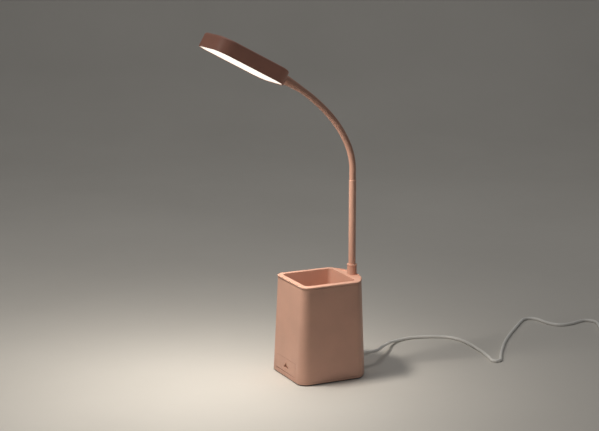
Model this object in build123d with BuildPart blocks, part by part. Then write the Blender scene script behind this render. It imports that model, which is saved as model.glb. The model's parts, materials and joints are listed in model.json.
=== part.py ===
"""Desk lamp: a pen cup with a drawer in its base, and a flexible neck that carries a flat light head.

Millimetres, +Z up. The origin is on the desk under the middle of the pen cup. The drawer and the
light head are on the front, towards -Y. The neck and the cord are at the back, towards +Y.
"""

import os
from math import cos, degrees, pi, radians, sin, sqrt, tan

from build123d import *

os.makedirs("parts", exist_ok=True)

# ---------------------------------------------------------------- driving dimensions
# Body: flat front and sides that taper upwards, and a bowed back
body_height = 110.0
foot_half_width = 39.7
foot_front = 41.3
foot_back = 51.0
foot_corner = 11.0
top_half_width = 36.8
top_front = 36.1
top_back = 46.2
top_corner = 8.8
bow_radius = 50.0
back_corner = 8.0
shell_wall = 2.2

# Foot and base plate
pad_thickness = 1.2
pad_inset = 0.8
plate_flange = 2.2
plate_inset = 0.15
plate_step = 2.0
seam_gap = 0.25
tongue_height = 2.25
tongue_gap = 0.7

# Cup, rim and rear deck
rim_thickness = 2.8
rim_overhang = 0.5
rim_round = 1.2
cup_half_width = 30.5
cup_front = 31.0
cup_back = 30.2
cup_corner = 5.0
cup_draft = 2.0
cup_wall = 1.8
cup_floor = 26.5
lip_wall = 1.6
lip_depth = 3.6
deck_recess = 1.0
deck_bead = 2.2
deck_strip = 4.6

# Screw posts between the base plate and the shell
post_radius = 3.2
post_height = 18.0
post_rib = 1.6
post_x = 28.5
post_front_y = 29.0
post_back_y = 33.0
screw_radius = 1.2
screw_head_radius = 2.4
screw_head_height = 1.5
screw_length = 9.0
small_head_radius = 2.0
small_head_height = 1.2

# Steel ballast plate
ballast_thickness = 2.0
ballast_gap = 2.0

# Drawer
drawer_half_width = 23.8
drawer_top = 21.3
drawer_front_wall = 3.2
drawer_length = 57.0
tray_half_width = 22.0
tray_headroom = 1.35
tray_wall = 1.4
tray_floor = 1.2
nail_width = 12.5
nail_bottom = 11.0
nail_top = 17.6
nail_depth = 2.4
drawer_travel = 44.0
stop_width = 3.1
stop_height = 2.2
stop_length = 2.0
rail_wall = 1.6
rail_lip = 1.8
rail_foot = 6.0
rail_foot_thickness = 1.5
rail_length = 54.0

# Neck
neck_y = 40.8
pole_radius = 4.0
pole_bore = 2.65
pole_top = 216.0
tail_radius = 3.2
tail_bore = 2.0
tail_length = 14.0
collar_radius = 5.3
collar_lip_radius = 5.7
collar_lip = 1.3
collar_height = 10.9
neck_seat_margin = 0.5
deck_boss_radius = 6.2
deck_boss_depth = 6.5
clip_radius = 6.5
clip_thickness = 1.2
clip_groove = 0.6
clip_mouth = 5.0
neck_bend_start = 226.5
neck_bends = [(72.0, 24.0), (125.0, 18.0), (200.0, 20.0)]
neck_straight = 8.0
neck_joints = 8
joint_pitch = 15.75
joint_half_gap = 0.6
core_radius = 2.6
core_in_pole = 16.0
core_in_head = 14.0
sleeve_radius = 3.6
boot_root_radius = 6.3
boot_waist = 0.2

# Light head
head_length = 90.0
head_width = 64.0
head_thickness = 16.4
head_corner = 16.5
head_draft = 1.5
head_edge_round = 3.0
head_wall = 1.6
head_roof = 2.0
diffuser_recess = 0.35
diffuser_thickness = 1.8
diffuser_ledge = 1.5
board_length = 62.0
board_width = 50.0
board_thickness = 1.2
board_back = 22.0
board_depth = 9.6
board_post_radius = 2.6
board_post_x = 20.0
board_post_inset = 2.8
board_corner = 2.0
board_screw_bite = 3.0
led_width = 2.8
led_length = 3.5
led_height = 0.8
led_columns = 5
led_rows = 6
led_pitch = 9.4
clamp_half_width = 9.0
clamp_start = 5.0
clamp_length = 7.0
clamp_thickness = 4.2
clamp_split = 0.3
clamp_screw_x = 6.2
clamp_screw_bite = 4.0

# Electronics in the back of the body
driver_half_width = 18.0
driver_bottom = 40.0
driver_height = 30.0
driver_thickness = 1.2
driver_y = 35.2
driver_post_radius = 2.4
driver_screw_x = 14.0
driver_screw_z = 64.0
driver_screw_length = 5.0
driver_corner = 1.0
connector_width = 9.0
connector_depth = 5.6
connector_height = 5.0
chip_place = (-10.0, 52.0)
chip_size = (5.0, 1.6, 4.0)
inductor_place = (9.0, 55.0)
inductor_size = (3.4, 4.5)
capacitor_place = (-1.0, 52.0)
capacitor_size = (2.5, 6.0)
wire_radius = 1.1
neck_lead_rise = 8.0
neck_lead_drop = 6.0
neck_lead_bend = 6.0
power_lead_bend = 5.0
touch_foil_length = 10.0
touch_foil_width = 4.0
touch_foil_thickness = 0.2
touch_foil_x = 13.0
touch_foil_offset = 3.4
touch_foil_corner = 1.0
touch_wire_drop = 6.0
touch_wire_bend = 1.5

# Cord, strain relief and plug
cord_diameter = 3.6
cord_exit_z = 15.0
relief_root_radius = 3.3
relief_tip_radius = 2.5
relief_length = 11.0
relief_flange_radius = 5.0
relief_flange = 1.6
coil_pitch = 4.3
coil_layer = 4.3
coil_outer_radius = 25.0
coil_turns_per_layer = 2.5
coil_centre = (66.0, 392.0)
coil_climb_radius = 10.0
coil_tail = 30.0
plug_width = 15.8
plug_height = 8.0
plug_length = 22.0
plug_round = 2.0
plug_neck_length = 9.0
plug_neck_radius = 2.9
metal_width = 12.0
metal_height = 4.5
metal_length = 14.0
metal_wall = 0.35

# Clearances
slide_gap = 0.35
fit_gap = 0.03
press_gap = 0.02
seat_gap = 0.25

# Working values: how far cutting shapes run past the faces they cut, the same where the wall
# slopes, the share of a leg that a cord corner may take, and the least difference that counts
cut_over = 1.0
slope_reach = 6.0
corner_share = 0.45
tolerance = 0.01

# Free cord from the strain relief to the coil: hand-chosen points, lying on the desk after the drop
cord_radius = cord_diameter / 2
cord_route = [
    (0, 62, 15),
    (0, 70, 15),
    (-7, 80, 14.2),
    (-22, 93, 12.2),
    (-38, 107, 9),
    (-54, 121, 5),
    (-66, 137, 1.8),
    (-70, 157, 1.8),
    (-64, 178, 1.8),
    (-54, 198, 1.8),
    (-36, 207, 1.8),
    (-11, 206.5, 1.8),
    (15, 204, 1.8),
    (38, 200, 1.8),
    (53, 194.5, 1.8),
    (56, 204, 1.8),
    (43, 212, 1.8),
    (22, 227, 1.8),
    (-7, 250, 1.8),
    (-34, 276, 1.8),
    (-59, 302, 1.8),
    (-79, 323, 1.8),
    (-79, 333, 1.8),
    (-71.5, 340, 1.8),
    (-51, 340.5, 1.8),
    (-35, 349, 1.8),
    (-36, 369, 1.8),
    (-42.5, 386, 1.8),
    (-38, 395.5, 1.8),
    (-28, 398.5, 1.8),
    (-12, 390.5, 1.8),
    (5, 381, 1.8),
    (23, 371.5, 1.8),
    (43, 367, 1.8),
    (62.4, 367, 1.8),
]

# ---------------------------------------------------------------- derived levels
plate_bottom = pad_thickness
flange_top = plate_bottom + plate_flange
step_top = flange_top + plate_step
shell_bottom = flange_top + seam_gap
shell_top = body_height - rim_thickness
rim_bottom = shell_top + seam_gap
tongue_top = flange_top + tongue_height
tongue_half_width = drawer_half_width + slide_gap - tongue_gap
drawer_bottom = tongue_top + tongue_gap
ballast_top = step_top + ballast_thickness
tray_bottom = ballast_top + slide_gap
tray_top = drawer_top - tray_headroom
cup_outer_bottom = cup_floor - cup_wall


# ---------------------------------------------------------------- body sections
def along(z, foot, top):
    """A body size at height z, between its value at the foot and at the top."""
    return foot + (top - foot) * z / body_height


def front_y(z, inset=0.0):
    return -along(z, foot_front, top_front) + inset


def back_y(z, inset=0.0):
    return along(z, foot_back, top_back) - inset


def body_section(z, inset=0.0):
    """The body's outline at height z, moved inwards by inset."""
    half_width = along(z, foot_half_width, top_half_width) - inset
    front = front_y(z, inset)
    back = back_y(z, inset)
    bow = bow_radius - inset
    side_end = back - bow + sqrt(bow**2 - half_width**2)
    with BuildSketch(Plane.XY.offset(z)) as section:
        with BuildLine():
            Polyline(
                (-half_width, side_end),
                (-half_width, front),
                (half_width, front),
                (half_width, side_end),
            )
            ThreePointArc((half_width, side_end), (0, back), (-half_width, side_end))
        make_face()
        rows = section.vertices().group_by(Axis.Y)
        fillet(rows[0], radius=along(z, foot_corner, top_corner) - inset)
        fillet(section.vertices().group_by(Axis.Y)[-1], radius=back_corner - inset)
    return section.sketch


def body_solid(low, high, inset=0.0):
    """The tapered body between two heights, moved inwards by inset."""
    with BuildPart() as solid:
        loft(sections=[body_section(low, inset), body_section(high, inset)])
    return solid.part


def front_slab(low, high, half_width, depth, recess=0.0):
    """A slab of the front wall between two heights, flush with its slope less a recess."""
    with BuildPart() as slab:
        with BuildSketch(Plane.YZ):
            with BuildLine():
                Polyline(
                    (front_y(low, recess), low),
                    (front_y(low, recess) + depth, low),
                    (front_y(low, recess) + depth, high),
                    (front_y(high, recess), high),
                    close=True,
                )
            make_face()
        extrude(amount=half_width, both=True)
    return slab.part


def export(piece, label):
    """Label a finished piece and write it to its own file."""
    piece.part.label = label
    export_step(piece.part, f"parts/{label}.step")


post_places = [
    (-post_x, -post_front_y),
    (post_x, -post_front_y),
    (-post_x, post_back_y),
    (post_x, post_back_y),
]

# ---------------------------------------------------------------- foot and base plate
with BuildPart() as foot_pad:
    with BuildSketch():
        add(body_section(0, pad_inset))
    extrude(amount=pad_thickness)
export(foot_pad, "foot_pad")

with BuildPart() as base_plate:
    add(body_solid(plate_bottom, flange_top, plate_inset))
    add(body_solid(flange_top, step_top, shell_wall + seat_gap))
    add(front_slab(flange_top, tongue_top, tongue_half_width, shell_wall + seat_gap + cut_over))
    with Locations(Plane.XY.offset(plate_bottom)):
        with Locations(*post_places):
            Cylinder(
                screw_head_radius + seat_gap,
                screw_head_height + seat_gap,
                align=(Align.CENTER, Align.CENTER, Align.MIN),
                mode=Mode.SUBTRACT,
            )
            Cylinder(
                screw_radius + seat_gap,
                step_top,
                align=(Align.CENTER, Align.CENTER, Align.MIN),
                mode=Mode.SUBTRACT,
            )
export(base_plate, "base_plate")


def screw_group(places, plane, length, head_height, head_radius=screw_head_radius):
    """Pan-head screws: each head stands on the plane, on its normal's side, and the shank
    goes the other way."""
    with BuildPart() as screws:
        for place in places:
            with BuildSketch(plane.shift_origin(plane.from_local_coords((*place, 0)))):
                Circle(head_radius)
            extrude(amount=head_height)
            with BuildSketch(plane.shift_origin(plane.from_local_coords((*place, 0)))):
                Circle(screw_radius)
            extrude(amount=-length)
    return screws


# The base screws go up: their heads sit in the base plate's counterbores.
base_screw_plane = Plane(
    origin=(0, 0, plate_bottom + screw_head_height), x_dir=(1, 0, 0), z_dir=(0, 0, -1)
)
base_screws = screw_group(
    [(x, -y) for x, y in post_places], base_screw_plane, screw_length, screw_head_height
)
export(base_screws, "base_screws")

# ---------------------------------------------------------------- outer shell
post_top = step_top + post_height
with BuildPart() as outer_shell:
    add(body_solid(shell_bottom, shell_top))
    add(
        body_solid(shell_bottom - cut_over, shell_top + cut_over, shell_wall), mode=Mode.SUBTRACT
    )
    with BuildSketch(Plane.XZ.offset(-front_y(0) + cut_over)):
        with Locations((0, (shell_bottom - cut_over + drawer_top + slide_gap) / 2)):
            Rectangle(
                2 * (drawer_half_width + slide_gap),
                drawer_top + slide_gap - shell_bottom + cut_over,
            )
    extrude(amount=-(shell_wall + slope_reach), mode=Mode.SUBTRACT)
    with BuildSketch(Plane.XZ.offset(-back_y(0) - cut_over)):
        with Locations((0, cord_exit_z)):
            Circle(relief_root_radius + fit_gap)
    extrude(amount=shell_wall + slope_reach, mode=Mode.SUBTRACT)
    with BuildSketch(Plane.XY.offset(step_top)):
        with Locations(*post_places):
            Circle(post_radius)
    extrude(amount=post_height)
    for x, y in post_places:
        wall_x = along(post_top, foot_half_width, top_half_width) - shell_wall / 2
        with BuildSketch(Plane.XY.offset(step_top)):
            with Locations(((x + wall_x * x / abs(x)) / 2, y)):
                Rectangle(wall_x - abs(x), post_rib)
        extrude(amount=post_height)
    with BuildSketch(Plane.XY.offset(step_top)):
        with Locations(*post_places):
            Circle(screw_radius + press_gap)
    extrude(amount=post_height - post_rib, mode=Mode.SUBTRACT)
export(outer_shell, "outer_shell")

# ---------------------------------------------------------------- pen cup with rim and rear deck
cup_middle = (cup_back - cup_front) / 2
cup_depth_y = cup_back + cup_front


def cup_section(z, grow=0.0):
    """The pen cup's inside at height z, moved outwards by grow."""
    draft = cup_draft * (body_height - z) / (body_height - cup_floor)
    with BuildSketch(Plane.XY.offset(z)) as section:
        with Locations((0, cup_middle)):
            RectangleRounded(
                2 * (cup_half_width - draft + grow),
                cup_depth_y - 2 * draft + 2 * grow,
                cup_corner - draft / 2 + grow,
            )
    return section.sketch


with BuildPart() as cup_liner:
    add(body_solid(rim_bottom, body_height, -rim_overhang))
    rim_edges = cup_liner.faces().filter_by(Axis.Z).edges()
    fillet(rim_edges, radius=rim_round)
    with BuildSketch(Plane.XY.offset(body_height)):
        add(body_section(body_height, deck_bead - rim_overhang))
        with Locations((0, cup_back + deck_strip - body_height)):
            Rectangle(3 * foot_half_width, 2 * body_height, mode=Mode.SUBTRACT)
        with Locations((0, neck_y)):
            Circle(collar_radius + neck_seat_margin, mode=Mode.SUBTRACT)
    extrude(amount=-deck_recess, mode=Mode.SUBTRACT)
    loft(sections=[cup_section(cup_outer_bottom, cup_wall), cup_section(rim_bottom, cup_wall)])
    add(body_solid(rim_bottom - lip_depth, rim_bottom, shell_wall + seat_gap))
    lip_inner = shell_wall + seat_gap + lip_wall
    with BuildSketch(Plane.XY.offset(rim_bottom - lip_depth)):
        add(body_section(rim_bottom, lip_inner))
        add(cup_section(rim_bottom, cup_wall), mode=Mode.SUBTRACT)
    extrude(amount=lip_depth, mode=Mode.SUBTRACT)
    with BuildSketch(Plane.XY.offset(rim_bottom - deck_boss_depth)):
        with Locations((0, neck_y)):
            Circle(deck_boss_radius)
        with Locations((0, back_y(rim_bottom, shell_wall + seat_gap) + body_height)):
            Rectangle(body_height, 2 * body_height, mode=Mode.SUBTRACT)
    extrude(amount=deck_boss_depth)
    loft(sections=[cup_section(cup_floor), cup_section(body_height)], mode=Mode.SUBTRACT)
    with BuildSketch(Plane.XY.offset(body_height)):
        with Locations((0, neck_y)):
            Circle(tail_radius + fit_gap)
    extrude(amount=-(rim_thickness + deck_boss_depth), mode=Mode.SUBTRACT)
    with BuildSketch(Plane.XZ.offset(-driver_y)):
        with Locations((-driver_screw_x, driver_screw_z), (driver_screw_x, driver_screw_z)):
            Circle(driver_post_radius)
    extrude(amount=driver_y - cup_back + cup_draft)
    with BuildSketch(Plane.XZ.offset(-driver_y)):
        with Locations((-driver_screw_x, driver_screw_z), (driver_screw_x, driver_screw_z)):
            Circle(screw_radius + press_gap)
    extrude(amount=driver_y - cup_back, mode=Mode.SUBTRACT)
export(cup_liner, "cup_liner")

# ---------------------------------------------------------------- ballast and drawer rails
rail_tab_centres = [-14.0, 12.0]
rail_tab_length = 8.0
rail_inner = tray_half_width + slide_gap
rail_outer = rail_inner + rail_wall
rail_start = front_y(drawer_top) + drawer_front_wall + slide_gap
rail_top = tray_top + slide_gap
stop_outer = rail_inner - rail_lip - seat_gap
stop_inner = stop_outer - stop_width
tray_back = front_y(drawer_bottom) + drawer_length
stop_y = tray_back - tray_wall - drawer_travel - slide_gap
rail_screw_places = [
    (side * (rail_outer + rail_foot / 2), y) for side in (-1, 1) for y in rail_tab_centres
]

with BuildPart() as ballast_plate:
    with BuildSketch(Plane.XY.offset(step_top)):
        add(body_section(step_top, shell_wall + ballast_gap))
        with Locations(*post_places):
            Circle(post_radius + seat_gap, mode=Mode.SUBTRACT)
        for x, y in post_places:
            with Locations((x + x / abs(x) * foot_half_width / 2, y)):
                Rectangle(foot_half_width, post_rib + 2 * seat_gap, mode=Mode.SUBTRACT)
        with Locations(*rail_screw_places):
            Circle(screw_radius + fit_gap, mode=Mode.SUBTRACT)
    extrude(amount=ballast_thickness)
export(ballast_plate, "ballast_plate")


def drawer_rail(side):
    """A rail beside the drawer: a wall, a lip over the tray with a stop block, and two screwed
    feet."""
    with BuildPart() as rail:
        with BuildSketch(Plane.XZ.offset(-rail_start)):
            with BuildLine():
                Polyline(
                    (side * rail_inner, ballast_top),
                    (side * rail_outer, ballast_top),
                    (side * rail_outer, rail_top + rail_wall),
                    (side * (rail_inner - rail_lip), rail_top + rail_wall),
                    (side * (rail_inner - rail_lip), rail_top),
                    (side * rail_inner, rail_top),
                    close=True,
                )
            make_face()
        extrude(amount=-rail_length)
        with BuildSketch(Plane.XY.offset(rail_top)):
            with Locations((side * (stop_inner + rail_inner) / 2, stop_y - stop_length / 2)):
                Rectangle(rail_inner - stop_inner, stop_length)
        extrude(amount=rail_wall)
        with BuildSketch(Plane.XY.offset(ballast_top)):
            for y in rail_tab_centres:
                with Locations((side * (rail_outer + rail_foot / 2), y)):
                    Rectangle(rail_foot, rail_tab_length)
        extrude(amount=rail_foot_thickness)
        with BuildSketch(Plane.XY.offset(ballast_top)):
            for y in rail_tab_centres:
                with Locations((side * (rail_outer + rail_foot / 2), y)):
                    Circle(screw_radius + fit_gap)
        extrude(amount=rail_foot_thickness, mode=Mode.SUBTRACT)
    return rail


export(drawer_rail(-1), "drawer_rail_left")
export(drawer_rail(1), "drawer_rail_right")

rail_screw_plane = Plane.XY.offset(ballast_top + rail_foot_thickness)
rail_screws = screw_group(
    rail_screw_places,
    rail_screw_plane,
    rail_foot_thickness + ballast_thickness,
    screw_head_height,
)
export(rail_screws, "rail_screws")

# ---------------------------------------------------------------- drawer
tray_front = front_y(tray_bottom) + drawer_front_wall / 2
with BuildPart() as nail_recess:
    with BuildSketch(Plane.YZ):
        with BuildLine():
            Polyline(
                (front_y(nail_bottom) - cut_over, nail_bottom),
                (front_y(nail_bottom) + nail_depth, nail_bottom),
                (front_y(nail_top), nail_top),
                (front_y(nail_top) - cut_over, nail_top),
                close=True,
            )
        make_face()
    extrude(amount=nail_width, both=True)
    with BuildSketch(Plane.XZ.offset(-front_y(0) + cut_over)):
        with BuildLine():
            Polyline(
                (-nail_width / 2, nail_bottom),
                (nail_width / 2, nail_bottom),
                (0, nail_top),
                close=True,
            )
        make_face()
    extrude(amount=-foot_front / 2, mode=Mode.INTERSECT)

with BuildPart() as drawer:
    add(front_slab(drawer_bottom, drawer_top, drawer_half_width, drawer_front_wall))
    with BuildSketch(Plane.XY.offset(tray_bottom)):
        with Locations((0, (tray_front + tray_back) / 2)):
            Rectangle(2 * tray_half_width, tray_back - tray_front)
    extrude(amount=tray_top - tray_bottom)
    with BuildSketch(Plane.XY.offset(tray_bottom + tray_floor)):
        with Locations((0, (front_y(tray_bottom) + drawer_front_wall + tray_back - tray_wall) / 2)):
            RectangleRounded(
                2 * (tray_half_width - tray_wall),
                tray_back - tray_wall - front_y(tray_bottom) - drawer_front_wall - 2 * seat_gap,
                2 * tray_wall,
            )
    extrude(amount=tray_top - tray_bottom, mode=Mode.SUBTRACT)
    with BuildSketch(Plane.XY.offset(tray_top)):
        for side in (-1, 1):
            with Locations((side * (stop_outer + stop_inner) / 2, tray_back - tray_wall / 2)):
                Rectangle(stop_width, tray_wall)
    extrude(amount=stop_height)
    add(nail_recess.part, mode=Mode.SUBTRACT)
export(drawer, "drawer")
print(f"drawer travel {drawer_travel:.2f}")

# ---------------------------------------------------------------- neck path
# The neck lies in the plane x = 0: a vertical start, three arcs and a short straight end.


def neck_state(s):
    """Place (y, z) and elevation of the neck's centre line, s along it from the pole's top."""
    y = neck_y
    z = pole_top
    elevation = 90.0
    rise = neck_bend_start - pole_top
    if s <= rise:
        return y, z + s, elevation
    z += rise
    s -= rise
    for radius, turn in neck_bends:
        part_turn = min(turn, degrees(s / radius))
        before = radians(elevation)
        elevation -= part_turn
        after = radians(elevation)
        y -= radius * (sin(before) - sin(after))
        z += radius * (cos(after) - cos(before))
        s -= radius * radians(part_turn)
        if part_turn < turn:
            return y, z, elevation
    return y - s * cos(radians(elevation)), z + s * sin(radians(elevation)), elevation


neck_breaks = [0.0, neck_bend_start - pole_top]
for bend_radius, bend_turn in neck_bends:
    neck_breaks.append(neck_breaks[-1] + bend_radius * radians(bend_turn))
neck_length = neck_breaks[-1] + neck_straight


def neck_point(s):
    y, z, _ = neck_state(s)
    return (0, y, z)


def neck_plane(s):
    """The plane square to the neck's centre line at s."""
    y, z, elevation = neck_state(s)
    angle = radians(elevation)
    return Plane(origin=(0, y, z), x_dir=(1, 0, 0), z_dir=(0, -cos(angle), sin(angle)))


def neck_line(start, end):
    """The neck's centre line between two places along it, as lines and arcs."""
    inner_breaks = [s for s in neck_breaks if start + tolerance < s < end - tolerance]
    stops = [start] + inner_breaks + [end]
    with BuildLine() as line:
        for low, high in zip(stops, stops[1:]):
            straight = abs(neck_state(high)[2] - neck_state(low)[2]) < tolerance
            if straight:
                Line(neck_point(low), neck_point(high))
            else:
                ThreePointArc(neck_point(low), neck_point((low + high) / 2), neck_point(high))
    return line.line


def neck_piece(start, end, outer, inner=0.0):
    """A rod or a tube along the neck's centre line."""
    with BuildPart() as piece:
        with BuildSketch(neck_plane(start)):
            Circle(outer)
            if inner:
                Circle(inner, mode=Mode.SUBTRACT)
        sweep(path=neck_line(start, end))
    return piece


# ---------------------------------------------------------------- rigid lower pole and its fixing
tail_bottom = body_height - tail_length
clip_top = rim_bottom - deck_boss_depth - fit_gap
clip_bottom = clip_top - clip_thickness
with BuildPart() as lower_pole:
    with BuildSketch(Plane.XY.offset(body_height)):
        with Locations((0, neck_y)):
            Circle(pole_radius)
    extrude(amount=pole_top - body_height)
    chamfer(lower_pole.edges().group_by(Axis.Z)[-1], length=clip_groove / 2)
    with BuildSketch(Plane.XY.offset(tail_bottom)):
        with Locations((0, neck_y)):
            Circle(tail_radius)
    extrude(amount=tail_length)
    with BuildSketch(Plane.XY.offset(clip_bottom - fit_gap)):
        with Locations((0, neck_y)):
            Circle(pole_radius)
            Circle(tail_radius - clip_groove, mode=Mode.SUBTRACT)
    extrude(amount=clip_thickness + 2 * fit_gap, mode=Mode.SUBTRACT)
    with BuildSketch(Plane.XY.offset(tail_bottom)):
        with Locations((0, neck_y)):
            Circle(tail_bore)
    extrude(amount=pole_top - tail_bottom, mode=Mode.SUBTRACT)
    with BuildSketch(Plane.XY.offset(pole_top)):
        with Locations((0, neck_y)):
            Circle(pole_bore)
    extrude(amount=-(pole_top - body_height), mode=Mode.SUBTRACT)
export(lower_pole, "lower_pole")

with BuildPart() as neck_collar:
    with BuildSketch(Plane.XY.offset(body_height)):
        with Locations((0, neck_y)):
            Circle(collar_radius)
    extrude(amount=collar_height)
    with BuildSketch(Plane.XY.offset(body_height + collar_height - collar_lip)):
        with Locations((0, neck_y)):
            Circle(collar_lip_radius)
    extrude(amount=collar_lip)
    fillet(neck_collar.edges().group_by(Axis.Z)[-1], radius=clip_groove)
    with BuildSketch(Plane.XY.offset(body_height)):
        with Locations((0, neck_y)):
            Circle(pole_radius + fit_gap)
    extrude(amount=collar_height, mode=Mode.SUBTRACT)
export(neck_collar, "neck_collar")

clip_back = back_y(rim_bottom, shell_wall) - 2 * seat_gap
with BuildPart() as neck_clip:
    with BuildSketch(Plane.XY.offset(clip_bottom)):
        with Locations((0, neck_y)):
            Circle(clip_radius)
            Circle(tail_radius - clip_groove + fit_gap, mode=Mode.SUBTRACT)
        with Locations((0, neck_y + clip_radius)):
            Rectangle(clip_mouth, 2 * clip_radius, mode=Mode.SUBTRACT)
        with Locations((0, clip_back + clip_radius)):
            Rectangle(3 * clip_radius, 2 * clip_radius, mode=Mode.SUBTRACT)
    extrude(amount=clip_thickness)
export(neck_clip, "neck_clip")

# ---------------------------------------------------------------- flexible neck
# The core's links meet at the joints, and each sleeve piece spans one joint.
joint_places = [joint_pitch * (k + 0.5) for k in range(neck_joints)]
boot_start = joint_pitch * neck_joints
link_ends = [-core_in_pole] + joint_places + [neck_length + core_in_head]
for k in range(neck_joints + 1):
    link_start = link_ends[k] + (joint_half_gap if k > 0 else 0)
    link_end = link_ends[k + 1] - (joint_half_gap if k < neck_joints else 0)
    if k == 0:
        with BuildPart() as link:
            with BuildSketch(Plane.XY.offset(pole_top + link_start)):
                with Locations((0, neck_y)):
                    Circle(core_radius)
            extrude(amount=link_end - link_start)
    else:
        link = neck_piece(link_start, link_end, core_radius)
    export(link, f"neck_core_{k}")

for k in range(neck_joints):
    sleeve = neck_piece(joint_pitch * k, joint_pitch * (k + 1), sleeve_radius, pole_bore)
    export(sleeve, f"neck_sleeve_{k + 1}")
    y, z, elevation = neck_state(joint_places[k])
    print(f"neck joint {k + 1}: y {y:.3f} z {z:.3f} elevation {elevation:.3f}")

with BuildPart() as neck_boot:
    boot_stops = [boot_start, (boot_start + neck_length) / 2, neck_length]
    boot_middle = (sleeve_radius + boot_root_radius) / 2 - boot_waist
    boot_radii = [sleeve_radius, boot_middle, boot_root_radius]
    for s, radius in zip(boot_stops, boot_radii):
        with BuildSketch(neck_plane(s)):
            Circle(radius)
    loft()
    with BuildSketch(neck_plane(boot_start)):
        Circle(pole_bore)
    sweep(path=neck_line(boot_start, neck_length), mode=Mode.SUBTRACT)
export(neck_boot, "neck_boot")

# ---------------------------------------------------------------- light head
# The head's plane: its X is the lamp's X, its -Y points at the head's tip, its Z is the head's top.
head_y, head_z, head_tilt = neck_state(neck_length)
head_normal = (0, sin(radians(head_tilt)), cos(radians(head_tilt)))
head_plane = Plane(origin=(0, head_y, head_z), x_dir=(1, 0, 0), z_dir=head_normal)
head_low = -head_thickness / 2
head_high = head_thickness / 2
head_middle = -head_length / 2
diffuser_low = head_low + diffuser_recess
diffuser_high = diffuser_low + diffuser_thickness
roof_low = head_high - head_roof
board_low = head_low + board_depth
board_high = board_low + board_thickness
board_middle = -board_back - board_length / 2
board_post_y = board_length / 2 - board_post_inset
board_screw_places = [
    (x, board_middle + y)
    for x in (-board_post_x, board_post_x)
    for y in (-board_post_y, board_post_y)
]
clamp_middle = -clamp_start - clamp_length / 2
clamp_screw_places = [(-clamp_screw_x, clamp_middle), (clamp_screw_x, clamp_middle)]
print(f"head y {head_y:.3f} z {head_z:.3f} tilt {head_tilt:.3f} neck length {neck_length:.2f}")


def head_outline(offset, shrink):
    """The head's rounded outline, moved inwards, on a plane at an offset above its middle."""
    with BuildSketch(head_plane.offset(offset)) as outline:
        with Locations((0, head_middle)):
            RectangleRounded(
                head_width - 2 * shrink, head_length - 2 * shrink, head_corner - shrink
            )
    return outline.sketch


with BuildPart() as head_shell:
    add(head_outline(head_low, 0))
    extrude(amount=head_thickness, dir=head_normal, taper=head_draft)
    top_face = head_shell.faces().filter_by(lambda face: face.normal_at().dot(
        Vector(*head_normal)) > 0.99)
    fillet(top_face.edges(), radius=head_edge_round)
    add(head_outline(head_low, head_wall))
    extrude(amount=diffuser_high - head_low, dir=head_normal, mode=Mode.SUBTRACT)
    add(head_outline(diffuser_high, head_wall + diffuser_ledge))
    extrude(amount=roof_low - diffuser_high, dir=head_normal, mode=Mode.SUBTRACT)
    with BuildSketch(head_plane.offset(board_high)):
        with Locations(*board_screw_places):
            Circle(board_post_radius)
    extrude(amount=roof_low - board_high)
    with BuildSketch(head_plane.offset(clamp_split / 2)):
        with Locations((0, clamp_middle)):
            Rectangle(2 * clamp_half_width, clamp_length)
    extrude(amount=roof_low - clamp_split / 2)
    with BuildSketch(head_plane.offset(board_high)):
        with Locations(*board_screw_places):
            Circle(screw_radius + press_gap)
    extrude(amount=roof_low - board_high, mode=Mode.SUBTRACT)
    with BuildSketch(head_plane.offset(clamp_split / 2)):
        with Locations(*clamp_screw_places):
            Circle(screw_radius + press_gap)
    extrude(amount=roof_low - clamp_split, mode=Mode.SUBTRACT)
    with BuildSketch(neck_plane(neck_length - cut_over)):
        Circle(core_radius + fit_gap)
    extrude(amount=core_in_head + cut_over, mode=Mode.SUBTRACT)
export(head_shell, "head_shell")

with BuildPart() as diffuser:
    add(head_outline(diffuser_low, head_wall + seat_gap / 2))
    extrude(amount=diffuser_thickness, dir=head_normal)
export(diffuser, "diffuser")

with BuildPart() as led_board:
    with BuildSketch(head_plane.offset(board_low)):
        with Locations((0, board_middle)):
            RectangleRounded(board_width, board_length, board_corner)
        with Locations(*board_screw_places):
            Circle(screw_radius + fit_gap, mode=Mode.SUBTRACT)
    extrude(amount=board_thickness)
export(led_board, "led_board")

with BuildPart() as leds:
    with BuildSketch(head_plane.offset(board_low)):
        with Locations((0, board_middle)):
            with GridLocations(led_pitch, led_pitch, led_columns, led_rows):
                Rectangle(led_width, led_length)
    extrude(amount=-led_height)
export(leds, "leds")

board_screw_plane = Plane(
    origin=head_plane.from_local_coords((0, 0, board_low)),
    x_dir=(1, 0, 0),
    z_dir=tuple(-value for value in head_normal),
)
led_board_screws = screw_group(
    [(x, -y) for x, y in board_screw_places],
    board_screw_plane,
    board_thickness + board_screw_bite,
    small_head_height,
    small_head_radius,
)
export(led_board_screws, "led_board_screws")

with BuildPart() as neck_clamp:
    with BuildSketch(head_plane.offset(-clamp_split / 2)):
        with Locations((0, clamp_middle)):
            Rectangle(2 * clamp_half_width, clamp_length)
        with Locations(*clamp_screw_places):
            Circle(screw_radius + fit_gap, mode=Mode.SUBTRACT)
    extrude(amount=-clamp_thickness)
    with BuildSketch(neck_plane(neck_length)):
        Circle(core_radius + fit_gap)
    extrude(amount=core_in_head, mode=Mode.SUBTRACT)
export(neck_clamp, "neck_clamp")

clamp_screw_plane = Plane(
    origin=head_plane.from_local_coords((0, 0, -clamp_split / 2 - clamp_thickness)),
    x_dir=(1, 0, 0),
    z_dir=tuple(-value for value in head_normal),
)
neck_clamp_screws = screw_group(
    [(x, -y) for x, y in clamp_screw_places],
    clamp_screw_plane,
    clamp_thickness + clamp_screw_bite,
    small_head_height,
    small_head_radius,
)
export(neck_clamp_screws, "neck_clamp_screws")

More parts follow.
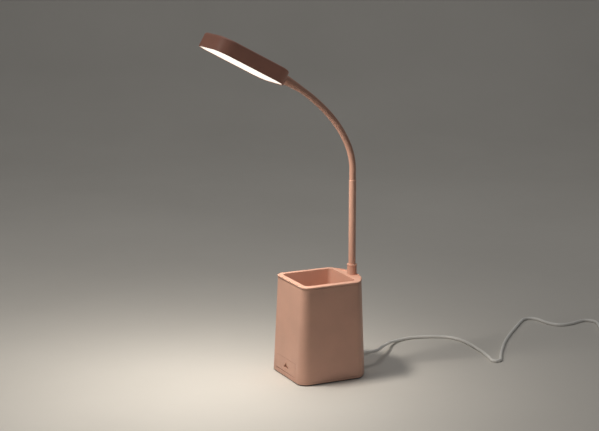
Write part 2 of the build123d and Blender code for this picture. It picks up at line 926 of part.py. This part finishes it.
# ---------------------------------------------------------------- driver board in the back
driver_middle = driver_bottom + driver_height / 2
driver_back = driver_y + driver_thickness
driver_screw_places = [(-driver_screw_x, driver_screw_z), (driver_screw_x, driver_screw_z)]
with BuildPart() as driver_board:
    with BuildSketch(Plane.XZ.offset(-driver_y)):
        with Locations((0, driver_middle)):
            RectangleRounded(2 * driver_half_width, driver_height, driver_corner)
        with Locations(*driver_screw_places):
            Circle(screw_radius + fit_gap, mode=Mode.SUBTRACT)
    extrude(amount=-driver_thickness)
export(driver_board, "driver_board")

driver_screw_plane = Plane(origin=(0, driver_back, 0), x_dir=(-1, 0, 0), z_dir=(0, 1, 0))
driver_screws = screw_group(
    driver_screw_places,
    driver_screw_plane,
    driver_screw_length,
    small_head_height,
    small_head_radius,
)
export(driver_screws, "driver_screws")


def board_box(x, z, width, depth, height):
    """A component that stands on the back of the driver board."""
    with BuildPart() as component:
        with BuildSketch(Plane.XZ.offset(-driver_back)):
            with Locations((x, z)):
                Rectangle(width, height)
        extrude(amount=-depth)
    return component


def board_can(x, z, radius, depth):
    """A round component that stands on the back of the driver board."""
    with BuildPart() as component:
        with BuildSketch(Plane.XZ.offset(-driver_back)):
            with Locations((x, z)):
                Circle(radius)
        extrude(amount=-depth)
        fillet(component.edges().group_by(Axis.Y)[-1], radius=radius / 5)
    return component


lead_y = driver_back + connector_depth / 2
input_connector_z = driver_bottom + connector_height / 2
output_connector_z = driver_bottom + driver_height - connector_height / 2
export(board_box(0, input_connector_z, connector_width, connector_depth, connector_height),
       "input_connector")
export(board_box(0, output_connector_z, connector_width, connector_depth, connector_height),
       "output_connector")
export(board_box(*chip_place, *chip_size), "driver_chip")
export(board_can(*inductor_place, *inductor_size), "driver_inductor")
export(board_can(*capacitor_place, *capacitor_size), "driver_capacitor")

# ---------------------------------------------------------------- leads inside the body
output_lead_route = [
    (0, lead_y, output_connector_z + connector_height / 2),
    (0, lead_y, output_connector_z + connector_height / 2 + neck_lead_rise),
    (0, neck_y, tail_bottom - neck_lead_drop),
    (0, neck_y, pole_top - core_in_pole),
]


def lead(route, radius, bends):
    """A round lead along a route with rounded corners."""
    start = Vector(*route[0])
    with BuildPart() as piece:
        with BuildLine():
            line = FilletPolyline(*route, radius=bends)
        with BuildSketch(Plane(origin=route[0], z_dir=Vector(*route[1]) - start)):
            Circle(radius)
        sweep(path=line)
    return piece


export(lead(output_lead_route, wire_radius, neck_lead_bend), "neck_lead")

relief_y = back_y(cord_exit_z)
relief_tip_y = cord_route[0][1]
power_lead_route = [
    (0, relief_tip_y, cord_exit_z),
    (0, lead_y, cord_exit_z),
    (0, lead_y, driver_bottom),
]
export(lead(power_lead_route, cord_radius, power_lead_bend), "power_lead")

touch_foil_y = cup_back + cup_wall + touch_foil_offset
with BuildPart() as touch_foil:
    with BuildSketch(Plane.XY.offset(rim_bottom)):
        with Locations((touch_foil_x, touch_foil_y)):
            RectangleRounded(touch_foil_length, touch_foil_width, touch_foil_corner)
    extrude(amount=-touch_foil_thickness)
export(touch_foil, "touch_foil")

touch_wire_x = touch_foil_x - touch_foil_length / 4
touch_wire_route = [
    (touch_wire_x, touch_foil_y, rim_bottom - touch_foil_thickness),
    (touch_wire_x, touch_foil_y, output_connector_z + touch_wire_drop),
    (touch_wire_x, lead_y, output_connector_z),
    (connector_width / 2, lead_y, output_connector_z),
]
export(lead(touch_wire_route, wire_radius / 2, touch_wire_bend), "touch_wire")

# ---------------------------------------------------------------- strain relief and cord clamp
relief_inside = relief_y - shell_wall - 2 * seat_gap
with BuildPart() as strain_relief:
    with BuildSketch(Plane.YZ):
        with BuildLine():
            Polyline(
                (relief_inside - relief_flange, cord_exit_z),
                (relief_inside - relief_flange, cord_exit_z + relief_flange_radius),
                (relief_inside, cord_exit_z + relief_flange_radius),
                (relief_inside, cord_exit_z + relief_root_radius),
                (relief_y + relief_flange, cord_exit_z + relief_root_radius),
                (relief_tip_y, cord_exit_z + relief_tip_radius),
                (relief_tip_y, cord_exit_z),
                close=True,
            )
        make_face()
    revolve(axis=Axis((0, 0, cord_exit_z), (0, 1, 0)))
    with BuildSketch(Plane.XZ.offset(-relief_tip_y - cut_over)):
        with Locations((0, cord_exit_z)):
            Circle(cord_radius + fit_gap)
    extrude(amount=relief_tip_y - relief_y + shell_wall + 3 * relief_flange, mode=Mode.SUBTRACT)
export(strain_relief, "strain_relief")

# ---------------------------------------------------------------- free cord on the desk
def corner_radii(route):
    """The largest fair radius at each corner of a route."""
    radii = []
    for before, here, after in zip(route, route[1:], route[2:]):
        first = Vector(*here) - Vector(*before)
        second = Vector(*after) - Vector(*here)
        turn = first.get_angle(second)
        shorter = min(first.length, second.length)
        radii.append(corner_share * shorter / tan(radians(turn) / 2))
    return radii


def print_tube(label, line, tube):
    section = pi * cord_radius**2
    share = tube.part.volume / (section * line.length)
    print(f"{label}: length {line.length:.1f} mm, volume over section times length {share:.4f}")


cord_radii = corner_radii(cord_route)
print("cord radii", [round(radius, 1) for radius in cord_radii])
with BuildPart() as cord_run:
    with BuildLine():
        cord_line = FilletPolyline(*cord_route, radius=cord_radii)
    with BuildSketch(Plane(origin=cord_route[0], z_dir=cord_line % 0)):
        Circle(cord_radius)
    sweep(path=cord_line)
print_tube("cord run", cord_line, cord_run)
export(cord_run, "cord_run")

# ---------------------------------------------------------------- put-away coil
# Half turns alternate between the near and far side of the coil's centre. The lower layer winds
# in, a tighter half turn climbs, and the upper layer winds out over it, half a pitch wider. A tail
# comes down to the plug.
half_turns_in = round(2 * coil_turns_per_layer)
coil_radii = [coil_outer_radius - coil_pitch / 2 * k for k in range(half_turns_in + 1)]
coil_heights = [cord_radius] * len(coil_radii)
coil_radii += [coil_climb_radius] + [radius + coil_pitch / 2 for radius in coil_radii[:0:-1]]
coil_heights += [cord_radius + coil_layer] * (len(coil_radii) - len(coil_heights))
coil_nodes = []
for k, (radius, height) in enumerate(zip(coil_radii, coil_heights)):
    side = -1 if k % 2 == 0 else 1
    coil_nodes.append(
        (
            Vector(coil_centre[0], coil_centre[1] + side * radius, height),
            Vector(-side, 0, 0),
        )
    )
tail_start, tail_way = coil_nodes[-1]
tail_end = tail_start + tail_way * coil_tail
coil_nodes.append((Vector(tail_end.X, tail_end.Y, plug_height / 2), tail_way))


def biarc_middle(start, start_way, end, end_way):
    """Where two tangent arcs of equal reach meet, between two places and their directions."""
    chord = end - start
    both = start_way + end_way
    squared = 2 * (1 - start_way.dot(end_way))
    along_both = chord.dot(both)
    if squared < tolerance**2:
        reach = chord.dot(chord) / (2 * along_both)
    else:
        reach = (-along_both + sqrt(along_both**2 + squared * chord.dot(chord))) / squared
    return (start + end + (start_way - end_way) * reach) / 2


with BuildPart() as cord_coil:
    with BuildLine() as coil_line:
        first, first_way = coil_nodes[0]
        Line(first - first_way * cord_diameter, first)
        for (start, start_way), (end, end_way) in zip(coil_nodes, coil_nodes[1:]):
            middle = biarc_middle(start, start_way, end, end_way)
            quarter = TangentArc(start, middle, tangent=start_way)
            TangentArc(middle, end, tangent=quarter % 1)
        last, last_way = coil_nodes[-1]
        Line(last, last + last_way * cord_diameter)
    coil_path = coil_line.wire()
    with BuildSketch(Plane(origin=first - first_way * cord_diameter, z_dir=first_way)):
        Circle(cord_radius)
    sweep(path=coil_path)
print_tube("cord coil", coil_path, cord_coil)
export(cord_coil, "cord_coil")

# The coil's least gap to itself, measured between points a diameter and more apart along it.
step_count = round(coil_path.length / 2)
coil_points = [coil_path @ (k / step_count) for k in range(step_count + 1)]
skip = round(3 * cord_diameter / 2)
least = min(
    (coil_points[i] - coil_points[j]).length
    for i in range(len(coil_points))
    for j in range(i + skip, len(coil_points))
)
print(f"cord coil: least gap to itself {least - cord_diameter:.2f} mm")
print(f"cord: free length {cord_line.length + coil_path.length:.0f} mm")

# ---------------------------------------------------------------- plug on the cord's end
plug_start = last + last_way * cord_diameter
plug_plane = Plane(origin=plug_start, x_dir=(0, 1, 0), z_dir=last_way)
body_start = plug_neck_length
body_end = plug_neck_length + plug_length
metal_hold = plug_length / 3
with BuildPart() as plug_body:
    with BuildSketch(plug_plane.offset(body_start)):
        RectangleRounded(plug_width, plug_height, plug_round)
    extrude(amount=plug_length)
    with BuildSketch(plug_plane):
        Circle(plug_neck_radius)
    with BuildSketch(plug_plane.offset(body_start)):
        Circle(plug_height / 2 - seat_gap)
    loft()
    with BuildSketch(plug_plane.offset(body_end)):
        Rectangle(metal_width, metal_height)
    extrude(amount=-metal_hold, mode=Mode.SUBTRACT)
export(plug_body, "plug_body")

with BuildPart() as plug_metal:
    with BuildSketch(plug_plane.offset(body_end - metal_hold)):
        Rectangle(metal_width - 2 * fit_gap, metal_height - 2 * fit_gap)
        Rectangle(
            metal_width - 2 * metal_wall, metal_height - 2 * metal_wall, mode=Mode.SUBTRACT
        )
    extrude(amount=metal_length + metal_hold)
export(plug_metal, "plug_metal")

with BuildPart() as plug_tongue:
    with BuildSketch(plug_plane.offset(body_end - metal_hold)):
        with Locations((0, -metal_height / 4)):
            Rectangle(metal_width - 2 * metal_wall - 2 * fit_gap, metal_height / 2 - 2 * metal_wall)
    extrude(amount=metal_length + metal_hold - cut_over)
export(plug_tongue, "plug_tongue")
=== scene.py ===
"""Desk lamp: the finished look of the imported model. Metres, in the frame of the model itself."""

import json
from math import cos, pi, radians, sin

import bpy
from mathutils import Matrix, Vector


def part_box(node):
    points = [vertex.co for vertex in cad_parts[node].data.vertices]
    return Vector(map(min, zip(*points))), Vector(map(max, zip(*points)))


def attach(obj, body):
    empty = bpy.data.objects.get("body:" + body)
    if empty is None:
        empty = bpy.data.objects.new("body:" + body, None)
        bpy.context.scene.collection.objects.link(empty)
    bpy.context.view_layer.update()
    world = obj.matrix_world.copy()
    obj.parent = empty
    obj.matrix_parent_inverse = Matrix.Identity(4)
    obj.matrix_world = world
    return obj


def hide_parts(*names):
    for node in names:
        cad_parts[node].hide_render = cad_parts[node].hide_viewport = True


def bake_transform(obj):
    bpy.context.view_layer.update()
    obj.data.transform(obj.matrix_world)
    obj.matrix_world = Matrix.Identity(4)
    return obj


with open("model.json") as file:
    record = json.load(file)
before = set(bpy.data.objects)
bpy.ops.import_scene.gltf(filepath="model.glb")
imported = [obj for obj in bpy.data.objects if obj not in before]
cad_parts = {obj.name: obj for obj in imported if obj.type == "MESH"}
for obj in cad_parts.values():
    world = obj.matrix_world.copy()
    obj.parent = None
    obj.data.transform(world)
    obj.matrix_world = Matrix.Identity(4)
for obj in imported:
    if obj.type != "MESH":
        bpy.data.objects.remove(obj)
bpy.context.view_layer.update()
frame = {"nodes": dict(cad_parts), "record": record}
nodes = frame["nodes"]
scene = bpy.context.scene
scene.view_settings.view_transform = "Standard"
MM = 0.001


# ---------------------------------------------------------------- camera
# Fitted to the photo: its width and the focal length in pixels, and the view's angles in degrees.
photo_width = 599
photo_focal = 1600
camera_place = (1.53356, -0.76211, 0.54994)
camera_heading = 64.30
camera_dip = 12.203
camera_data = bpy.data.cameras.new("camera")
camera_data.sensor_fit = "HORIZONTAL"
camera_data.sensor_width = 36
camera_data.lens = photo_focal * camera_data.sensor_width / photo_width
camera = bpy.data.objects.new("camera", camera_data)
camera.location = camera_place
camera.rotation_euler = (radians(90 - camera_dip), 0, radians(camera_heading))
scene.collection.objects.link(camera)
scene.camera = camera


# ---------------------------------------------------------------- materials
drift_scale = 28


def srgb(red, green, blue):
    """A colour given in 0 to 255 display values, as linear numbers."""
    linear = []
    for value in (red, green, blue):
        value /= 255
        linear.append(value / 12.92 if value <= 0.04045 else ((value + 0.055) / 1.055) ** 2.4)
    return (*linear, 1)


class Look:
    """A procedural material, built from noise in the object's own metres."""

    def __init__(self, name):
        self.material = bpy.data.materials.new(name)
        self.material.use_nodes = True
        self.tree = self.material.node_tree
        self.shader = self.tree.nodes["Principled BSDF"]
        self.place = self.tree.nodes.new("ShaderNodeTexCoord").outputs["Object"]

    def link(self, source, target):
        self.tree.links.new(source, target)

    def noise(self, scale, detail=3, stretch=None):
        """Noise with features of about 1/scale metres."""
        noise = self.tree.nodes.new("ShaderNodeTexNoise")
        noise.inputs["Scale"].default_value = scale
        noise.inputs["Detail"].default_value = detail
        place = self.place
        if stretch:
            mapping = self.tree.nodes.new("ShaderNodeMapping")
            mapping.inputs["Scale"].default_value = stretch
            self.link(self.place, mapping.inputs["Vector"])
            place = mapping.outputs["Vector"]
        self.link(place, noise.inputs["Vector"])
        return noise.outputs["Fac"]

    def colours(self, fac, *stops):
        ramp = self.tree.nodes.new("ShaderNodeValToRGB")
        elements = ramp.color_ramp.elements
        for k, (position, colour) in enumerate(stops):
            element = elements[k] if k < 2 else elements.new(position)
            element.position = position
            element.color = colour
        self.link(fac, ramp.inputs["Fac"])
        self.link(ramp.outputs["Color"], self.shader.inputs["Base Color"])

    def roughness(self, fac, low, high):
        spread = self.tree.nodes.new("ShaderNodeMapRange")
        spread.inputs["From Min"].default_value = 0.3
        spread.inputs["From Max"].default_value = 0.7
        spread.inputs["To Min"].default_value = low
        spread.inputs["To Max"].default_value = high
        self.link(fac, spread.inputs["Value"])
        self.link(spread.outputs["Result"], self.shader.inputs["Roughness"])

    def bump(self, fac, depth, strength=1.0):
        """A relief whose highest and lowest places are about depth metres apart."""
        bump = self.tree.nodes.new("ShaderNodeBump")
        bump.inputs["Strength"].default_value = strength
        bump.inputs["Distance"].default_value = depth
        self.link(fac, bump.inputs["Height"])
        self.link(bump.outputs["Normal"], self.shader.inputs["Normal"])

    def set(self, **values):
        for name, value in values.items():
            self.shader.inputs[name.replace("_", " ")].default_value = value
        return self.material


def plain_look(name, colour, rough, spread=0.05, grain=1800, relief=8e-6, shade=0.93, **values):
    """Moulded or painted surface: a slow drift of colour, fine grain and uneven gloss."""
    look = Look(name)
    dark = tuple(c * shade for c in colour[:3]) + (1,)
    look.colours(look.noise(drift_scale), (0.35, dark), (0.65, colour))
    look.roughness(look.noise(grain / 6, 4), rough - spread, rough + spread)
    look.bump(look.noise(grain, 2), relief)
    return look.set(**values)


def metal_look(
    name, colour, rough, stretch=(1, 1, 12), spread=0.08, grain=900, relief=6e-6, shade=0.8
):
    """Worked metal: fine drawn lines and uneven gloss."""
    look = Look(name)
    dark = tuple(c * shade for c in colour[:3]) + (1,)
    lines = look.noise(grain, 4, stretch)
    look.colours(lines, (0.3, dark), (0.7, colour))
    look.roughness(lines, rough - spread, rough + spread)
    look.bump(lines, relief)
    return look.set(Metallic=1.0)


pink = srgb(221, 173, 152)
warm_white = (1.0, 0.94, 0.84, 1)
looks = {
    "body_plastic": plain_look("pink_plastic", pink, 0.42, grain=2600, relief=9e-6),
    # The head is the body's pink plastic painted darker: painted shade for a head whose sides the
    # light mostly misses.
    "head_plastic": plain_look("pink_head_plastic_painted_shade", srgb(190, 134, 116), 0.42, grain=2600,
                               relief=9e-6),
    "inner_plastic": plain_look("pink_inner_plastic", srgb(216, 166, 145), 0.55),
    "pole_paint": plain_look("pink_paint", pink, 0.3, grain=3200, relief=4e-6),
    "neck_sleeve": plain_look("pink_silicone", srgb(212, 162, 141), 0.42, grain=3600, relief=5e-6),
    "foot_rubber": plain_look("black_foam", srgb(22, 21, 21), 0.85, grain=1300, relief=60e-6),
    "screw_steel": metal_look("zinc_steel", srgb(196, 198, 202), 0.35),
    "core_steel": metal_look("spring_steel", srgb(120, 122, 126), 0.4),
    "ballast_steel": metal_look("rolled_steel", srgb(110, 112, 116), 0.5, (1, 10, 1)),
    "circuit_board": plain_look("green_mask", srgb(24, 92, 52), 0.3, grain=700, relief=12e-6),
    "led_board": plain_look("white_mask", srgb(236, 236, 232), 0.35, grain=700, relief=12e-6),
    "led_lens": plain_look("phosphor", srgb(240, 214, 120), 0.3),
    "connector_plastic": plain_look("ivory_plastic", srgb(232, 228, 212), 0.38),
    "component_black": plain_look("black_moulding", srgb(26, 26, 27), 0.55, grain=1500),
    "lead_insulation": plain_look("red_insulation", srgb(168, 36, 28), 0.4),
    "copper_foil": metal_look("copper", srgb(206, 128, 88), 0.3, (1, 6, 1)),
    "cord_white": plain_look("white_cord", srgb(242, 241, 237), 0.4, grain=1500, relief=10e-6),
    "plug_steel": metal_look("nickel_sheet", srgb(206, 207, 209), 0.22, (1, 8, 1)),
    "plug_tongue": plain_look("white_insulator", srgb(236, 236, 236), 0.4),
}

# The diffuser is lit. The light that it throws is a lamp of its own, further down.
glow = Look("lit_diffuser")
glow.colours(glow.noise(60), (0.3, srgb(248, 240, 224)), (0.7, srgb(255, 250, 240)))
glow.roughness(glow.noise(400), 0.3, 0.4)
glow.bump(glow.noise(1500), 10e-6)
glow.shader.inputs["Emission Color"].default_value = warm_white
looks["diffuser"] = glow.set(Emission_Strength=1.0)

slots = {row["node"]: row["material_slot"] for row in frame["record"]["subparts"]}
for name, node in nodes.items():
    node.data.materials.clear()
    node.data.materials.append(looks[slots[name]])


# ---------------------------------------------------------------- cord
# Millimetres: the points of the cord's route from the shell's back to the coil.
cord_radius = 1.8
cord_route = [
    (0, 62, 15),
    (0, 70, 15),
    (-7, 80, 14.2),
    (-22, 93, 12.2),
    (-38, 107, 9),
    (-54, 121, 5),
    (-66, 137, 1.8),
    (-70, 157, 1.8),
    (-64, 178, 1.8),
    (-54, 198, 1.8),
    (-36, 207, 1.8),
    (-11, 206.5, 1.8),
    (15, 204, 1.8),
    (38, 200, 1.8),
    (53, 194.5, 1.8),
    (56, 204, 1.8),
    (43, 212, 1.8),
    (22, 227, 1.8),
    (-7, 250, 1.8),
    (-34, 276, 1.8),
    (-59, 302, 1.8),
    (-79, 323, 1.8),
    (-79, 333, 1.8),
    (-71.5, 340, 1.8),
    (-51, 340.5, 1.8),
    (-35, 349, 1.8),
    (-36, 369, 1.8),
    (-42.5, 386, 1.8),
    (-38, 395.5, 1.8),
    (-28, 398.5, 1.8),
    (-12, 390.5, 1.8),
    (5, 381, 1.8),
    (23, 371.5, 1.8),
    (43, 367, 1.8),
    (58, 367, 1.8),
]

# The put-away coil: a lower layer winds in, climbs, and an upper layer winds out over it.
coil_centre = (66.0, 392.0)
coil_radii = [25.0, 22.85, 20.7, 18.55, 16.4, 14.25, 10.0, 16.4, 18.55, 20.7, 22.85, 25.0]
layer_rise = 4.3
coil_low, coil_high = cord_radius, cord_radius + layer_rise
climbing_half_turn = 5
half_turn_points = 8
coil_step = pi / half_turn_points
# The curve runs a little inside its points, so they stand out by this share.
swell = 1 / (0.75 + 0.25 * cos(coil_step))
coil_points = []
for k in range(half_turn_points * (len(coil_radii) - 1) + 1):
    turn, part = divmod(k, half_turn_points)
    part /= half_turn_points
    after = min(turn + 1, len(coil_radii) - 1)
    radius = (coil_radii[turn] * (1 - part) + coil_radii[after] * part) * swell
    if turn < climbing_half_turn:
        height = coil_low
    elif turn == climbing_half_turn:
        height = coil_low + (coil_high - coil_low) * part
    else:
        height = coil_high
    angle = -pi / 2 + k * coil_step
    coil_points.append(
        (coil_centre[0] + radius * cos(angle), coil_centre[1] + radius * sin(angle), height)
    )
cord_tail = [(56, 417, 6.0), (46, 417, 4.6), (38, 417, 4.0), (31, 417, 4.0)]

cord_points = cord_route + coil_points + cord_tail
cord_curve = bpy.data.curves.new("usb_cord", "CURVE")
cord_curve.dimensions = "3D"
cord_curve.resolution_u = 10
cord_curve.bevel_depth = cord_radius * MM
cord_curve.bevel_resolution = 5
cord_curve.use_fill_caps = True
spline = cord_curve.splines.new("NURBS")
spline.points.add(len(cord_points) - 1)
for point, place in zip(spline.points, cord_points):
    point.co = (*(value * MM for value in place), 1)
spline.order_u = 3
spline.use_endpoint_u = True
spline.use_smooth = True
cord = bpy.data.objects.new("usb_cord", cord_curve)
scene.collection.objects.link(cord)
cord_curve.materials.append(looks["cord_white"])
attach(cord, "base")
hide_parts("cord_run", "cord_coil")


# ---------------------------------------------------------------- meshes
sharp_angle = radians(50)


def new_mesh(name, rings, flat_ends, look):
    """A skin over rings of points, with flat ends or joined from last ring to first."""
    points = [point for ring in rings for point in ring]
    count = len(rings[0])
    faces = []
    last = len(rings) - 1 if flat_ends else len(rings)
    for r in range(last):
        here, there = r * count, (r + 1) % len(rings) * count
        for k in range(count):
            after = (k + 1) % count
            faces.append((here + k, here + after, there + after, there + k))
    if flat_ends:
        faces.append(tuple(range(count))[::-1])
        faces.append(tuple((len(rings) - 1) * count + k for k in range(count)))
    mesh = bpy.data.meshes.new(name)
    mesh.from_pydata(points, [], faces)
    mesh.validate()
    mesh.shade_smooth()
    piece = bpy.data.objects.new(name, mesh)
    scene.collection.objects.link(piece)
    mesh.materials.append(look)
    mesh.update()
    mesh.set_sharp_from_angle(angle=sharp_angle)
    return piece


# ---------------------------------------------------------------- flexible neck
# The neck's centre line lies in the plane x = 0: a vertical start, three arcs, each given by its
# radius in millimetres and its turn in degrees, and a straight end.
neck_start = (40.8, 216.0)
neck_rise = 10.5
neck_bends = [(72.0, 24.0), (125.0, 18.0), (200.0, 20.0)]
joint_count = 8
joint_pitch = 15.75
sleeve_radius = 3.6
sleeve_bore = 2.65
ring_step = 0.6
blend_margin = 1


def neck_state(s):
    """Place (y, z) and elevation in radians of the neck's centre line, s along it."""
    y, z = neck_start
    elevation = pi / 2
    if s <= neck_rise:
        return y, z + s, elevation
    z += neck_rise
    s -= neck_rise
    for radius, turn in neck_bends:
        part = min(radians(turn), s / radius)
        before = elevation
        elevation -= part
        y -= radius * (sin(before) - sin(elevation))
        z += radius * (cos(elevation) - cos(before))
        s -= radius * part
        if part < radians(turn):
            return y, z, elevation
    return y - s * cos(elevation), z + s * sin(elevation), elevation


def neck_ring(s, radius, count=48):
    """A ring of points in metres round the centre line."""
    y, z, elevation = neck_state(s)
    middle = Vector((0, y, z)) * MM
    across = Vector((1, 0, 0))
    up = Vector((0, sin(elevation), cos(elevation)))
    return [
        tuple(middle + (across * cos(a) + up * sin(a)) * radius * MM)
        for a in (2 * pi * k / count for k in range(count))
    ]


def neck_place(s):
    """A place in metres on the centre line."""
    y, z, _ = neck_state(s)
    return (0, y * MM, z * MM)


# One piece of sleeve across each joint.
for k in range(joint_count):
    start, end = joint_pitch * k, joint_pitch * (k + 1)
    count = round((end - start) / ring_step)
    stops = [start + (end - start) * i / count for i in range(count + 1)]
    rings = [neck_ring(s, sleeve_radius) for s in stops]
    rings += [neck_ring(s, sleeve_bore) for s in stops[::-1]]
    sleeve = new_mesh(f"neck_skin_{k + 1}", rings, False, looks["neck_sleeve"])
    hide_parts(f"neck_sleeve_{k + 1}")
    neck_place(start + blend_margin)
    neck_place(end - blend_margin)
    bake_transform(sleeve)


# ---------------------------------------------------------------- foam pad
low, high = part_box("foot_pad")
thick = high[2]
flat_tolerance = 1e-5
# The pad's outline, and its edge as shares of its thickness with the inset there in metres.
rim = sorted(
    {
        (round(v.co.x, 6), round(v.co.y, 6))
        for v in nodes["foot_pad"].data.vertices
        if v.co.z < low[2] + flat_tolerance
    },
    key=lambda p: Vector((p[0], p[1])).angle_signed(Vector((0, -1))),
)


pad_edge = [(0, 0.0005), (0.12, 0.0002), (0.35, 0), (0.65, 0), (0.88, 0.0002), (1, 0.0005)]


def pad_ring(z, inset):
    """The pad's outline at a height, moved towards its middle."""
    ring = []
    for x, y in rim:
        reach = Vector((x, y)).length
        ring.append((x * (1 - inset / reach), y * (1 - inset / reach), z))
    return ring


pad_rings = [pad_ring(thick * share, inset) for share, inset in pad_edge]
pad = new_mesh("foam_pad", pad_rings, True, looks["foot_rubber"])
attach(pad, "base")
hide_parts("foot_pad")


# ---------------------------------------------------------------- floor and lights
floor_look = Look("pale_floor")
floor_look.colours(floor_look.noise(3), (0.3, srgb(206, 203, 197)), (0.7, srgb(212, 209, 203)))
floor_look.roughness(floor_look.noise(40), 0.6, 0.7)
floor_look.bump(floor_look.noise(900), 10e-6)

# The floor runs away from the camera and sweeps up into the backdrop: distance and height.
sweep_profile = [
    (-6, 0), (1.2, 0), (1.5, 0.03), (1.8, 0.12), (2.0, 0.3), (2.1, 0.6), (2.15, 3),
]
sweep_reach = 6
along_view = Vector((-sin(radians(camera_heading)), cos(radians(camera_heading)), 0))
across_view = Vector((along_view.y, -along_view.x, 0))
sweep_points = [
    tuple(along_view * offset + across_view * side + Vector((0, 0, height)))
    for offset, height in sweep_profile
    for side in (-sweep_reach, sweep_reach)
]
sweep_faces = [(2 * k, 2 * k + 1, 2 * k + 3, 2 * k + 2) for k in range(len(sweep_profile) - 1)]
floor_mesh = bpy.data.meshes.new("floor")
floor_mesh.from_pydata(sweep_points, [], sweep_faces)
floor_mesh.shade_smooth()
floor = bpy.data.objects.new("floor", floor_mesh)
scene.collection.objects.link(floor)
floor_mesh.materials.append(floor_look.set())


lamp_middle = (0, 0, 0.1)


def area_light(name, place, target, size, power, colour):
    """A rectangular light aimed at a target: metres and watts."""
    data = bpy.data.lights.new(name, "AREA")
    data.shape = "RECTANGLE"
    data.size, data.size_y = size
    data.energy = power
    data.color = colour
    light = bpy.data.objects.new(name, data)
    light.location = place
    light.rotation_euler = (Vector(target) - Vector(place)).to_track_quat("-Z", "Y").to_euler()
    scene.collection.objects.link(light)
    return light


area_light("left_softbox", (0.1, -1.6, 0.9), lamp_middle, (0.5, 0.5), 4.5, (1.0, 0.95, 0.88))
area_light("high_softbox", (-0.5, 0.3, 1.9), lamp_middle, (1.2, 1.2), 7.5, (1.0, 0.97, 0.93))

# The lamp's own light, just under the diffuser. It goes with the head, whose root is at the neck's
# end and whose plane leans back by its tilt. Millimetres.
tilt = radians(28)
head_y, head_z, head_length = -48.523, 335.103, 90
glow_drop = 9.5
normal = Vector((0, sin(tilt), cos(tilt)))
tip_way = Vector((0, -cos(tilt), sin(tilt)))
head_root = Vector((0, head_y, head_z))
glow_place = (head_root + tip_way * head_length / 2 - normal * glow_drop) * MM
lamp_light = area_light(
    "lamp_glow", glow_place, glow_place - normal, (0.05, 0.07), 1.25, (1.0, 0.93, 0.84)
)
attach(lamp_light, "head")

world = bpy.data.worlds.new("studio")
world.use_nodes = True
background = world.node_tree.nodes["Background"]
background.inputs["Color"].default_value = (0.95, 0.97, 1.0, 1)
background.inputs["Strength"].default_value = 0.095
scene.world = world

bpy.context.view_layer.update()
